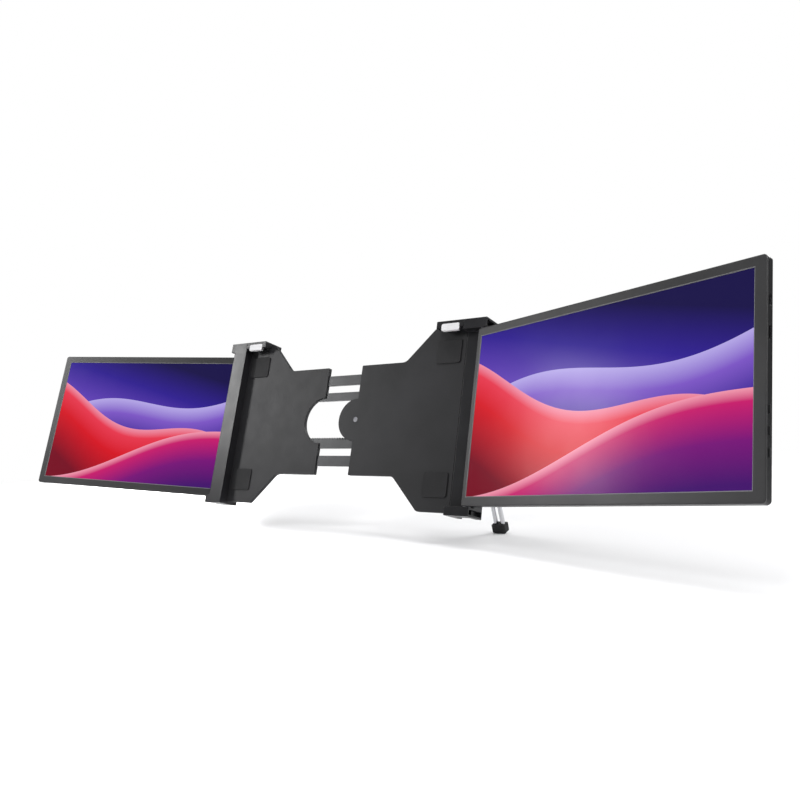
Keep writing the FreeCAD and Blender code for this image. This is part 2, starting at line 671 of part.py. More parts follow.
def make_bezel():
    frame = slab_xz(case_points(0), CASE_RADII, -HALF_THICK, BEZEL_REAR)
    front_rim = edges_where(frame, lambda e: on_y(e, -HALF_THICK))
    frame = frame.makeFillet(BEZEL_EDGE, front_rim)
    window = active_box(WINDOW_CLEAR, -HALF_THICK - 1, BEZEL_REAR + 1)
    frame = frame.cut(window)

    def window_rim(edge):
        box = edge.BoundBox
        u0 = HINGE_BEZEL - HALF_THICK - WINDOW_CLEAR
        return on_y(edge, -HALF_THICK) and box.XMin > u0 - 1e-3 \
            and box.XMax < u0 + ACTIVE_WIDTH + 2 * WINDOW_CLEAR + 1e-3 \
            and box.ZMin > SCREEN_BOTTOM + BOTTOM_BEZEL - WINDOW_CLEAR - 1e-3 \
            and box.ZMax < SCREEN_TOP - TOP_BEZEL + WINDOW_CLEAR + 1e-3

    return frame.makeChamfer(GLASS_RECESS * 0.8, edges_where(frame, window_rim))


def make_display():
    return active_box(0, GLASS_FRONT, BEZEL_REAR)


# Backlight and panel module behind the glass
def make_module():
    z0 = SCREEN_BOTTOM + CASE_WALL + MODULE_INSET
    z1 = SCREEN_TOP - CASE_WALL - MODULE_INSET
    corners = rectangle(INNER_START + BUTTON_CLEAR, INNER_END - BOARD_INSET, z0, z1)
    return slab_xz(corners, [HOLLOW_ROUND] * 4,
                   MODULE_FRONT, MODULE_FRONT + MODULE_THICK)


def board_bosses():
    reach = BOARD_HALF - BOSS_INSET
    near = BOARD_END - BOARD_WIDTH + BOSS_INSET
    far = BOARD_END - BOSS_INSET
    return [(far, -reach), (far, reach), (near, -reach), (near, reach)]


def make_board():
    corners = rectangle(BOARD_END - BOARD_WIDTH, BOARD_END, -BOARD_HALF, BOARD_HALF)
    return slab_xz(corners, [BOSS_RADIUS] * 4, BOARD_FRONT, BOARD_REAR)


# Port shells in the casing's outer edge, open outward
def make_ports():
    parts = []
    u1 = SCREEN_WIDTH - HALF_THICK
    for z, length in PORT_PLACES:
        outer = edge_cut(z, length - 2 * PIN_FIT, SLOT_HEIGHT - 2 * PIN_FIT, PORT_DEPTH)
        hollow = edge_cut(z, length - 2 * PORT_WALL, SLOT_HEIGHT - 2 * PORT_WALL,
                          PORT_DEPTH - PORT_WALL)
        trim = block(u1 - PORT_SINK, u1 + PORT_DEPTH, -SCREEN_THICK, SCREEN_THICK,
                     SCREEN_BOTTOM, SCREEN_TOP)
        reach = length / 2 - TONGUE_INSET
        tongue = block(u1 - PORT_DEPTH + PORT_SINK, u1 - 3 * PORT_SINK, SLOT_Y - TONGUE_THICK / 2,
                       SLOT_Y + TONGUE_THICK / 2, z - reach, z + reach)
        parts.append(outer.cut([hollow, trim]).fuse(tongue))
    return Part.makeCompound(parts)


def make_screen_button(z):
    u1 = SCREEN_WIDTH - HALF_THICK
    shape = edge_cut(z, BUTTON_LONG, 2 * BUTTON_ROUND, BUTTON_DEPTH)
    trim = block(u1 + BUTTON_PROUD, u1 + PORT_DEPTH, -SCREEN_THICK, SCREEN_THICK,
                 SCREEN_BOTTOM, SCREEN_TOP)
    return shape.cut(trim)


# Hinge pin: shank in the casing, shoulder in the ear gap and a collar in the ear
def make_pin(top):
    sign = 1 if top else -1
    edge = SCREEN_TOP if top else SCREEN_BOTTOM
    inner = edge - sign * PIN_DEPTH
    ear_face = EAR_TOP_UNDER if top else EAR_BOTTOM_OVER
    wall_end = ear_face + sign * EAR_WALL
    collar_start = wall_end + sign * SHOULDER_CLEAR
    shank = rod(PIN_RADIUS, vec(0, 0, inner), vec(0, 0, collar_start))
    shoulder = rod(PIN_SHOULDER, vec(0, 0, edge), vec(0, 0, ear_face - sign * SHOULDER_CLEAR))
    collar = rod(PIN_COLLAR, vec(0, 0, collar_start),
                 vec(0, 0, collar_start + sign * COLLAR_THICK))
    return shank.fuse([shoulder, collar]).removeSplitter()


def screen_nodes():
    nodes = {
        "back_cover": make_back_cover(),
        "bezel": make_bezel(),
        "display": make_display(),
        "panel_module": make_module(),
        "driver_board": make_board(),
        "ports": make_ports(),
        "upper_pin": make_pin(True),
        "lower_pin": make_pin(False),
    }
    for name, z in zip(("power_button", "menu_button", "select_button"), BUTTON_PLACES):
        nodes[name] = make_screen_button(z)
    return nodes


def swing(shape, turn, x, y):
    shape = shape.copy()
    shape.rotate(ORIGIN, UP, turn)
    shape.translate(vec(x, y, 0))
    return shape


def leg_bar():
    x0 = LEG_INNER
    x1 = LEG_INNER + LEG_WIDTH
    y0 = LEG_MID_Y - LEG_THICK / 2
    y1 = LEG_MID_Y + LEG_THICK / 2
    bar = block(x0, x1, y0, y1, LEG_END, LEG_PIVOT_Z)
    head = rod(LEG_THICK / 2, vec(x0, LEG_MID_Y, LEG_PIVOT_Z), vec(x1, LEG_MID_Y, LEG_PIVOT_Z))
    bar = bar.fuse(head).removeSplitter()
    long_edges = edges_where(bar, lambda e: along_z(e) and e.BoundBox.ZLength > LEG_LENGTH / 2)
    return bar.makeFillet(LEG_EDGE, long_edges)


def rod_places():
    return [LEG_MID_X - ROD_PITCH / 2, LEG_MID_X + ROD_PITCH / 2]


def make_leg():
    bar = leg_bar()
    bores = []
    depth = LEG_END + ROD_INSIDE + LEG_REACH + FOOT_ROUND
    for x in rod_places():
        bores.append(rod(ROD_RADIUS + RUN_FIT, vec(x, LEG_MID_Y, LEG_END - 1),
                         vec(x, LEG_MID_Y, depth)))
    pin = rod(LEG_PIN_RADIUS + RUN_FIT, vec(LEG_INNER - 1, LEG_MID_Y, LEG_PIVOT_Z),
              vec(LEG_INNER + LEG_WIDTH + 1, LEG_MID_Y, LEG_PIVOT_Z))
    lock_z = LEG_END + LOCK_FROM_END
    rear = LEG_MID_Y + LEG_THICK / 2
    lock = rod(LOCK_RADIUS + LOCK_CLEAR, vec(LEG_MID_X, rear - 2 * LOCK_TRAVEL - LOCK_CLEAR, lock_z),
               vec(LEG_MID_X, rear + 1, lock_z))
    return bar.cut(bores + [pin, lock])


def make_leg_pin():
    return rod(LEG_PIN_RADIUS, vec(SLOT_INNER - LEG_INNER_WALL / 2, LEG_MID_Y, LEG_PIVOT_Z),
               vec(POST_OUTER - EAR_WALL, LEG_MID_Y, LEG_PIVOT_Z))


def make_lock_button():
    lock_z = LEG_END + LOCK_FROM_END
    rear = LEG_MID_Y + LEG_THICK / 2
    button = rod(LOCK_RADIUS, vec(LEG_MID_X, rear - LOCK_TRAVEL, lock_z),
                 vec(LEG_MID_X, rear + LOCK_PROUD, lock_z))
    rim = edges_where(button, lambda e: on_y(e, rear + LOCK_PROUD))
    button = button.makeFillet(LOCK_EDGE, rim)
    dish = rod(LOCK_RADIUS / 2, vec(LEG_MID_X, rear + LOCK_PROUD - LOCK_EDGE, lock_z),
               vec(LEG_MID_X, rear + LOCK_PROUD + 1, lock_z))
    return button.cut(dish)


def make_rods():
    parts = []
    for x in rod_places():
        parts.append(rod(ROD_RADIUS, vec(x, LEG_MID_Y, LEG_END - LEG_REACH - FOOT_HEIGHT / 2),
                         vec(x, LEG_MID_Y, LEG_END + ROD_INSIDE)))
    return Part.makeCompound(parts)


def make_foot():
    top = LEG_END - LEG_REACH
    x0 = LEG_INNER - LEG_SIDE_CLEAR / 4
    x1 = LEG_INNER + LEG_WIDTH + LEG_SIDE_CLEAR / 4
    y0 = LEG_MID_Y - LEG_THICK / 2
    y1 = LEG_MID_Y + LEG_THICK / 2
    foot = block(x0, x1, y0, y1, top - FOOT_HEIGHT, top)

    def sole(edge):
        box = edge.BoundBox
        return along_z(edge) or abs(box.ZMax - top + FOOT_HEIGHT) < 1e-4

    foot = foot.makeFillet(FOOT_ROUND, edges_where(foot, sole))
    holes = [rod(ROD_RADIUS + PIN_FIT, vec(x, LEG_MID_Y, top - FOOT_HEIGHT / 2),
                 vec(x, LEG_MID_Y, top + 1)) for x in rod_places()]
    return foot.cut(holes)


def swing_leg(shape):
    shape = shape.copy()
    shape.rotate(vec(0, LEG_MID_Y, LEG_PIVOT_Z), RIGHT, LEG_TURN)
    return shape


def lean_and_save(name, shape):
    shape = shape.copy()
    shape.rotate(ORIGIN, RIGHT, -RECLINE)
    shape.exportStep("parts/" + name + ".step")


def build_nodes():
    nodes = {
        "right_post": make_right_post(),
        "right_hook": make_hook(),
        "right_hook_screws": make_hook_screws(),
        "right_lip_sleeve": make_lip_sleeve(),
        "right_plate_tray": make_right_tray(),
        "right_plate_cover": make_right_cover(),
        "right_back_pads": make_back_pads(),
        "upper_outer_strap": round_ends(strap_block(OUTER_LOW, OUTER_HIGH), STRAP_ROUND),
        "lower_outer_strap": round_ends(strap_block(-OUTER_HIGH, -OUTER_LOW), STRAP_ROUND),
        "disc_ring": make_disc_ring(),
        "disc_cap": make_disc_cap(),
        "pinion_axle": make_axle(),
        "pinion": make_pinion(),
        "left_post": mirrored(make_left_post()),
        "left_hook": mirrored(make_hook()),
        "left_hook_screws": mirrored(make_hook_screws()),
        "left_lip_sleeve": mirrored(make_lip_sleeve()),
        "left_plate_tray": mirrored(make_left_tray()),
        "left_plate_cover": mirrored(make_left_cover()),
        "left_back_pads": mirrored(make_back_pads()),
        "upper_inner_strap": mirrored(round_ends(strap_block(INNER_LOW, INNER_HIGH), STRAP_ROUND)),
        "rack_strap": make_rack_strap(),
        "leg_pivot_pin": make_leg_pin(),
        "leg_bar": swing_leg(make_leg()),
        "leg_lock_button": swing_leg(make_lock_button()),
        "leg_rods": swing_leg(make_rods()),
        "leg_foot": swing_leg(make_foot()),
    }
    for name, shape in screen_nodes().items():
        nodes["right_" + name] = swing(shape, -RIGHT_SCREEN_TURN, PIVOT_X, FRONT_PIVOT_Y)
        nodes["left_" + name] = swing(mirrored(shape), LEFT_SCREEN_TURN, -PIVOT_X, REAR_PIVOT_Y)
    return nodes


os.makedirs("parts", exist_ok=True)
for node_name, node_shape in build_nodes().items():
    lean_and_save(node_name, node_shape)
print("nodes written")
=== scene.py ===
import bpy
import json
import math
from mathutils import Matrix, Vector

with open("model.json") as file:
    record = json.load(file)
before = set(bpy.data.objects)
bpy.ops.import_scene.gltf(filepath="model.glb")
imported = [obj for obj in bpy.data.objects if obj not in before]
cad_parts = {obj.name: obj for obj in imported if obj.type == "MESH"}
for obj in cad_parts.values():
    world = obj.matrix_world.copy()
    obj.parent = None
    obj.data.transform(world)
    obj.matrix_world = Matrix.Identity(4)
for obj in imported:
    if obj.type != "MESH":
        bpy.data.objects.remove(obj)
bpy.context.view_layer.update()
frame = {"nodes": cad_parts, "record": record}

# Posture and places shared with the solid model, in metres and degrees
RECLINE = 16.0
RIGHT_TURN = 17.0
LEFT_TURN = 13.5
PICTURE_WIDTH = 0.29376
PICTURE_HEIGHT = 0.16524
HINGE_TO_PICTURE = 0.00175
PICTURE_MID_Z = -0.00082
RIGHT_PIVOT = (0.186, -0.00475)
LEFT_PIVOT = (-0.186, 0.01375)

# The plates' outline, for the lines inside it
PLATE_NECK = 0.0635
PLATE_SHOULDER = 0.086
PLATE_TOP = 0.0995
PLATE_GAP = 0.025
DIAGONAL = math.sqrt(0.5)

# The plates' lines: a painted highlight near the lip, and a painted shade line further in,
# standing for the light and shade of a stepped edge
LIP_INSET = 0.0011
LINE_INSET = 0.0023
LINE_WIDTH = 0.0012
# Painted highlight along the lip, and painted shade along the step further in
LIP_HIGHLIGHT_TONE = (0.160, 0.160, 0.168)
STEP_SHADE_TONE = (0.003, 0.003, 0.004)

# Plates
PLATE_SHINE = 0.13
PLATE_PLAIN = (0.03, 0.03, 0.032)
PLATE_DARK = (0.011, 0.011, 0.012)
PLATE_LIGHT = (0.018, 0.018, 0.020)
FINE_SHARE = 0.5

# Display frames and backs
BEZEL_DARK = (0.030, 0.030, 0.031)
BEZEL_LIGHT = (0.040, 0.040, 0.041)
# Painted highlight for the bezel's inner bevel and the back's hinge-side edge
EDGE_HIGHLIGHT_TONE = (0.16, 0.16, 0.165)
BEVEL_LINE = 0.0009
HINGE_FRAME = 0.006
CASE_EDGE_LINE = 0.0009
CASE_DARK = (0.005, 0.005, 0.006)
CASE_LIGHT = (0.008, 0.008, 0.009)
CASE_SHINE = 0.16

# Where the two tones of a drifting colour stand on its noise
TONE_LOW = 0.3
TONE_HIGH = 0.7
TONE_DETAIL = 3.0

# Moulded plastics and rubbers: two tones, roughness, grain scale and depth, edge radius
PLASTIC_SHINE = 0.23
MOULDED = {
    "post_plastic": dict(
        dark=(0.010, 0.010, 0.011), light=(0.016, 0.016, 0.018),
        rough=(0.26, 0.38), grain=2600.0, depth=0.00004, radius=0.0007),
    "tray_plastic": dict(
        dark=(0.014, 0.014, 0.015), light=(0.020, 0.020, 0.022),
        rough=(0.40, 0.50), grain=1800.0, depth=0.00003, radius=0.0004),
    "pinion_nylon": dict(
        dark=(0.030, 0.030, 0.031), light=(0.045, 0.045, 0.046),
        rough=(0.38, 0.50), grain=1500.0, depth=0.00002, radius=0.00015),
    "disc_rim": dict(
        dark=(0.030, 0.030, 0.032), light=(0.046, 0.046, 0.049),
        rough=(0.28, 0.38), grain=2200.0, depth=0.00002, radius=0.0004),
    "white_silicone": dict(
        dark=(0.66, 0.66, 0.67), light=(0.74, 0.74, 0.75),
        rough=(0.42, 0.55), grain=1600.0, depth=0.00003, radius=0.0006),
    "black_silicone": dict(
        dark=(0.012, 0.012, 0.013), light=(0.020, 0.020, 0.021),
        rough=(0.55, 0.72), grain=1400.0, depth=0.00005, radius=0.0006),
    "button_plastic": dict(
        dark=(0.010, 0.010, 0.011), light=(0.016, 0.016, 0.017),
        rough=(0.26, 0.36), grain=2000.0, depth=0.00001, radius=0.0003),
}

# The picture on both displays: its colours, and its ridges from far to near
GLASS_TONE = (0.006, 0.006, 0.007)
GLASS_SHINE = 0.05
PICTURE_GLOW = 0.92
NAVY = (0.008, 0.004, 0.07)
BLUE = (0.030, 0.012, 0.30)
DUSK = (0.14, 0.06, 0.52)
VIOLET = (0.22, 0.10, 0.60)
LILAC = (0.50, 0.42, 0.86)
PINK = (0.92, 0.30, 0.42)
SCARLET = (0.86, 0.04, 0.08)
RED = (0.72, 0.004, 0.014)
WINE = (0.20, 0.001, 0.014)
ROSE = (0.95, 0.34, 0.46)
CRIMSON = (0.62, 0.010, 0.16)
PLUM = (0.20, 0.004, 0.20)
INDIGO = (0.06, 0.004, 0.16)
HAZE_UP = 0.8
HAZE_ACROSS = 0.35
SKY_STOPS = [(0.30, LILAC), (0.56, DUSK), (0.80, BLUE), (1.0, NAVY)]
RIDGES = [
    dict(base=0.52, tilt=0.26, swell=0.10, waves=5.2, phase=0.4, depth=0.62,
         stops=[(0.0, LILAC), (0.20, VIOLET), (0.50, BLUE), (1.0, NAVY)]),
    dict(base=0.74, tilt=-0.46, swell=0.10, waves=6.4, phase=2.2, depth=0.60,
         stops=[(0.0, PINK), (0.12, SCARLET), (0.40, RED), (1.0, WINE)]),
    dict(base=0.06, tilt=0.36, swell=0.08, waves=5.0, phase=4.1, depth=0.42,
         stops=[(0.0, ROSE), (0.14, CRIMSON), (0.55, PLUM), (1.0, INDIGO)]),
]

# Camera
CAMERA_PLACE = (0.5886, -0.6870, 0.0163)
CAMERA_RIGHT = (0.82299, 0.56642, -0.04296)
CAMERA_UP = (0.04601, 0.00892, 0.99890)
FOCAL = 35.31
SENSOR = 36.0
SHIFT_X = -0.0255
SHIFT_Y = -0.0160
NEAREST_SEEN = 0.01

# Floor and sky
FLOOR_SIZE = 24.0
FLOOR_TONE = (0.90, 0.90, 0.91)
FLOOR_SHINE = 0.3
FLOOR_ROUGH = 0.30
FLOOR_ROUGH_SPREAD = 0.08
FADE_START = 0.55
FADE_END = 1.25
SKY_TONE = (1.0, 1.0, 1.0)
SKY_FOR_LIGHT = 0.24

# Lamps: place and the point faced, width and height in metres, power in watts
CENTRE = (0.0, 0.0, 0.0)
LAMPS = {
    "key": dict(
        place=(0.2, -1.6, 2.0), target=CENTRE, size=(1.0, 0.8), power=20.0),
    "wall": dict(
        place=(-1.75, -1.15, 0.85), target=(-0.17, 0.0, 0.0), size=(0.32, 0.5), power=15.0),
    "side": dict(
        place=(1.8, -0.2, 0.8), target=(0.1, 0.0, 0.0), size=(0.6, 1.0), power=11.0),
    "top": dict(
        place=(0.0, 0.1, 1.8), target=CENTRE, size=(2.2, 1.0), power=30.0),
    "back_low": dict(
        place=(-1.3, 0.7, 0.05), target=(-0.3, 0.0, -0.05), size=(0.5, 0.3), power=16.0),
    "back_high": dict(
        place=(0.9, 1.6, 1.1), target=(0.1, 0.0, 0.0), size=(0.9, 0.6), power=20.0),
}


# A vector from the bracket's own frame, leaned back with the panel
def leaned(x, y, z):
    turn = Matrix.Rotation(math.radians(-RECLINE), 3, "X")
    return turn @ Vector((x, y, z))


def new_material(name):
    material = bpy.data.materials.new(name)
    material.use_nodes = True
    return material


class Weaver:
    """Short helpers for adding nodes to one material."""

    def __init__(self, material):
        self.tree = material.node_tree
        self.nodes = self.tree.nodes
        self.links = self.tree.links
        self.shader = self.nodes["Principled BSDF"]
        self.place = self.nodes.new("ShaderNodeTexCoord").outputs["Object"]

    # The shader's plain values, which a link to a socket overrides
    def plain(self, colour, rough, metal=0.0, specular=0.5):
        self.shader.inputs["Base Color"].default_value = (*colour, 1.0)
        self.shader.inputs["Roughness"].default_value = rough
        self.shader.inputs["Metallic"].default_value = metal
        self.shader.inputs["Specular IOR Level"].default_value = specular

    def link(self, source, target):
        self.links.new(source, target)

    def stretched(self, scale):
        node = self.nodes.new("ShaderNodeMapping")
        node.inputs["Scale"].default_value = scale
        self.link(self.place, node.inputs["Vector"])
        return node.outputs["Vector"]

    def noise(self, scale, detail=2.0, rough=0.5, vector=None):
        node = self.nodes.new("ShaderNodeTexNoise")
        node.inputs["Scale"].default_value = scale
        node.inputs["Detail"].default_value = detail
        node.inputs["Roughness"].default_value = rough
        self.link(vector or self.place, node.inputs["Vector"])
        return node.outputs["Fac"]

    def cells(self, scale):
        node = self.nodes.new("ShaderNodeTexVoronoi")
        node.inputs["Scale"].default_value = scale
        self.link(self.place, node.inputs["Vector"])
        return node.outputs["Distance"]

    def spread(self, value, low, high):
        node = self.nodes.new("ShaderNodeMapRange")
        node.inputs["To Min"].default_value = low
        node.inputs["To Max"].default_value = high
        self.link(value, node.inputs["Value"])
        return node.outputs["Result"]

    def calc(self, kind, first, second=0.0):
        node = self.nodes.new("ShaderNodeMath")
        node.operation = kind
        for index, value in enumerate((first, second)):
            if isinstance(value, (int, float)):
                node.inputs[index].default_value = value
            else:
                self.link(value, node.inputs[index])
        return node.outputs["Value"]

    # How far each point lies along one direction
    def along(self, axis):
        node = self.nodes.new("ShaderNodeVectorMath")
        node.operation = "DOT_PRODUCT"
        node.inputs[1].default_value = axis
        self.link(self.place, node.inputs[0])
        return node.outputs["Value"]

    def ramp(self, value, stops):
        node = self.nodes.new("ShaderNodeValToRGB")
        while len(node.color_ramp.elements) < len(stops):
            node.color_ramp.elements.new(1.0)
        for element, (place, colour) in zip(node.color_ramp.elements, stops):
            element.position = place
            element.color = (*colour, 1.0)
        self.link(value, node.inputs["Fac"])
        return node.outputs["Color"]

    def mix(self, amount, first, second):
        node = self.nodes.new("ShaderNodeMix")
        node.data_type = "RGBA"
        for name, value in (("A", first), ("B", second)):
            socket = [s for s in node.inputs if s.name == name and s.type == "RGBA"][0]
            if isinstance(value, tuple):
                socket.default_value = (*value, 1.0)
            else:
                self.link(value, socket)
        self.link(amount, node.inputs["Factor"])
        return [s for s in node.outputs if s.type == "RGBA"][0]

    # Colour that drifts a little between two tones
    def drift(self, scale, dark, light):
        noise = self.noise(scale, TONE_DETAIL)
        return self.ramp(noise, [(TONE_LOW, dark), (TONE_HIGH, light)])

    def colour(self, value):
        self.link(value, self.shader.inputs["Base Color"])

    def roughness(self, value):
        self.link(value, self.shader.inputs["Roughness"])

    def bump(self, height, depth, strength=0.5):
        node = self.nodes.new("ShaderNodeBump")
        node.inputs["Distance"].default_value = depth
        node.inputs["Strength"].default_value = strength
        self.link(height, node.inputs["Height"])
        self.link(node.outputs["Normal"], self.shader.inputs["Normal"])
        return node

    # A soft highlight along sharp edges, as a moulded radius gives
    def soft_edges(self, radius, bump=None):
        node = self.nodes.new("ShaderNodeBevel")
        node.samples = 4
        node.inputs["Radius"].default_value = radius
        target = bump.inputs["Normal"] if bump else self.shader.inputs["Normal"]
        self.link(node.outputs["Normal"], target)


# Moulded plastic or rubber with a fine spark-eroded grain
def moulded(name, dark, light, rough, grain, depth, radius):
    material = new_material(name)
    weaver = Weaver(material)
    weaver.plain(dark, rough[1], specular=PLASTIC_SHINE)
    weaver.colour(weaver.drift(18.0, dark, light))
    clouds = weaver.noise(scale=60.0, detail=4.0)
    weaver.roughness(weaver.spread(clouds, low=rough[0], high=rough[1]))
    pits = weaver.noise(scale=grain, detail=3.0, rough=0.6)
    weaver.soft_edges(radius, weaver.bump(pits, depth))
    return material


# How far inside its plate's outline a point lies, in metres
def depth_in_plate(weaver):
    apart = weaver.nodes.new("ShaderNodeSeparateXYZ")
    weaver.link(weaver.place, apart.inputs[0])
    across = weaver.calc("ABSOLUTE", apart.outputs["X"])
    height = weaver.calc("ABSOLUTE", weaver.along(leaned(0.0, 0.0, 1.0)))
    from_neck = weaver.calc("SUBTRACT", PLATE_NECK, height)
    past_shoulder = weaver.calc("SUBTRACT", across, PLATE_SHOULDER)
    both = weaver.calc("ADD", past_shoulder, from_neck)
    from_slope = weaver.calc("MULTIPLY", both, DIAGONAL)
    inner = weaver.calc("MAXIMUM", from_neck, from_slope)
    from_top = weaver.calc("SUBTRACT", PLATE_TOP, height)
    from_gap = weaver.calc("SUBTRACT", across, PLATE_GAP)
    outer = weaver.calc("MINIMUM", from_top, from_gap)
    return weaver.calc("MINIMUM", inner, outer)


# A thin line all round, a little way inside the plate's edge
def edge_line(weaver, depth, inset):
    away = weaver.calc("ABSOLUTE", weaver.calc("SUBTRACT", depth, inset))
    return weaver.calc("LESS_THAN", away, LINE_WIDTH / 2)


# The plates carry a coarser leather-like grain and two lines inside their edge: a painted
# highlight and a painted shade
def plate_plastic():
    material = new_material("plate_plastic")
    weaver = Weaver(material)
    weaver.plain(PLATE_PLAIN, 0.5, specular=PLATE_SHINE)
    grain = weaver.drift(9.0, PLATE_DARK, PLATE_LIGHT)
    pebbles = weaver.cells(430.0)
    fine = weaver.noise(scale=2600.0, detail=2.0)
    depth = depth_in_plate(weaver)
    # A painted highlight line near the lip, then a painted shade line further in
    lip_highlight = weaver.mix(edge_line(weaver, depth, LIP_INSET), grain, LIP_HIGHLIGHT_TONE)
    weaver.colour(weaver.mix(edge_line(weaver, depth, LINE_INSET), lip_highlight, STEP_SHADE_TONE))
    height = weaver.calc("ADD", pebbles, weaver.calc("MULTIPLY", fine, FINE_SHARE))
    weaver.roughness(weaver.spread(pebbles, low=0.50, high=0.34))
    weaver.soft_edges(0.0008, weaver.bump(height, depth=0.0005, strength=0.9))
    return material


# Coated sliding strips with faint marks along their length
def strap_steel():
    material = new_material("strap_steel")
    weaver = Weaver(material)
    weaver.plain((0.03, 0.031, 0.034), 0.36, metal=0.25)
    weaver.colour(weaver.drift(40.0, (0.024, 0.025, 0.027), (0.036, 0.037, 0.040)))
    lengthwise = weaver.stretched((0.06, 1.0, 6.0))
    streaks = weaver.noise(scale=220.0, detail=3.0, rough=0.6, vector=lengthwise)
    weaver.roughness(weaver.spread(streaks, low=0.28, high=0.46))
    weaver.soft_edges(0.0002, weaver.bump(streaks, depth=0.00002, strength=0.4))
    return material


# Polished cap with an uneven gloss
def gloss_black():
    material = new_material("gloss_black")
    weaver = Weaver(material)
    weaver.plain((0.002, 0.002, 0.003), 0.12, specular=0.10)
    clouds = weaver.noise(scale=90.0, detail=3.0)
    weaver.roughness(weaver.spread(clouds, low=0.08, high=0.17))
    weaver.soft_edges(0.0003)
    return material


# Dull steel of the screws, pins, axle and ports, and darker than the bar on the lock button
def steel():
    material = new_material("steel")
    weaver = Weaver(material)
    weaver.plain((0.10, 0.10, 0.11), 0.32, metal=1.0)
    weaver.colour(weaver.drift(300.0, (0.09, 0.09, 0.10), (0.16, 0.16, 0.17)))
    specks = weaver.noise(scale=900.0, detail=3.0)
    weaver.roughness(weaver.spread(specks, low=0.24, high=0.42))
    weaver.soft_edges(0.0002)
    return material


# Bead-blasted and anodised bar
def leg_aluminium():
    material = new_material("leg_aluminium")
    weaver = Weaver(material)
    weaver.plain((0.22, 0.22, 0.23), 0.36, metal=0.85)
    weaver.colour(weaver.drift(50.0, (0.19, 0.19, 0.20), (0.25, 0.25, 0.26)))
    sparkle = weaver.noise(scale=4200.0, detail=2.0)
    weaver.roughness(weaver.spread(sparkle, low=0.30, high=0.44))
    weaver.soft_edges(0.0005, weaver.bump(sparkle, depth=0.00002, strength=0.4))
    return material


# Bright rods with faint rings
def rod_chrome():
    material = new_material("rod_chrome")
    weaver = Weaver(material)
    weaver.plain((0.55, 0.55, 0.57), 0.12, metal=1.0)
    upright = weaver.stretched((0.3, 0.3, 5.0))
    rings = weaver.noise(scale=800.0, detail=3.0, rough=0.5, vector=upright)
    weaver.roughness(weaver.spread(rings, low=0.08, high=0.22))
    return material


# Brushed metal of the panel modules
def module_steel():
    material = new_material("module_steel")
    weaver = Weaver(material)
    weaver.plain((0.42, 0.42, 0.44), 0.35, metal=1.0)
    lengthwise = weaver.stretched((0.05, 4.0, 4.0))
    brushed = weaver.noise(scale=300.0, detail=3.0, rough=0.6, vector=lengthwise)
    weaver.roughness(weaver.spread(brushed, low=0.28, high=0.45))
    return material


# Green circuit board
def board():
    material = new_material("board")
    weaver = Weaver(material)
    weaver.plain((0.01, 0.09, 0.04), 0.3)
    weaver.colour(weaver.drift(400.0, (0.008, 0.07, 0.035), (0.015, 0.11, 0.05)))
    return material


# Where a point lies across and up one display's picture, each from 0 to 1
def picture_place(weaver, side):
    is_right = side == "right"
    turn = math.radians(-RIGHT_TURN if is_right else LEFT_TURN)
    pivot = RIGHT_PIVOT if is_right else LEFT_PIVOT
    outward = 1 if is_right else -1
    along = leaned(math.cos(turn), math.sin(turn), 0.0)
    upward = leaned(0.0, 0.0, 1.0)
    start = leaned(pivot[0], pivot[1], 0.0) + along * (outward * HINGE_TO_PICTURE)
    if not is_right:
        start = start - along * PICTURE_WIDTH
    start = start + upward * (PICTURE_MID_Z - PICTURE_HEIGHT / 2)
    values = []
    for axis, length in ((along, PICTURE_WIDTH), (upward, PICTURE_HEIGHT)):
        offset = weaver.calc("SUBTRACT", weaver.along(axis), start.dot(axis))
        values.append(weaver.calc("DIVIDE", offset, length))
    return values


# Flat back: near black with a fine even speckle and a painted highlight along the hinge-side
# edge
def case_plastic(side):
    material = new_material("case_" + side)
    weaver = Weaver(material)
    weaver.plain(CASE_DARK, 0.42, specular=CASE_SHINE)
    across = picture_place(weaver, side)[0]
    from_hinge = across if side == "right" else weaver.calc("SUBTRACT", 1.0, across)
    in_metres = weaver.calc("MULTIPLY", from_hinge, PICTURE_WIDTH)
    inward = weaver.calc("ADD", in_metres, HINGE_FRAME)
    # A painted highlight line along the hinge-side edge
    hinge_highlight = weaver.calc("LESS_THAN", inward, CASE_EDGE_LINE)
    weaver.colour(weaver.mix(hinge_highlight, weaver.drift(5.0, CASE_DARK, CASE_LIGHT), EDGE_HIGHLIGHT_TONE))
    speckle = weaver.noise(scale=2400.0, detail=2.0, rough=0.7)
    weaver.roughness(weaver.spread(speckle, low=0.28, high=0.42))
    weaver.soft_edges(0.0006, weaver.bump(speckle, depth=0.00003, strength=0.5))
    return material


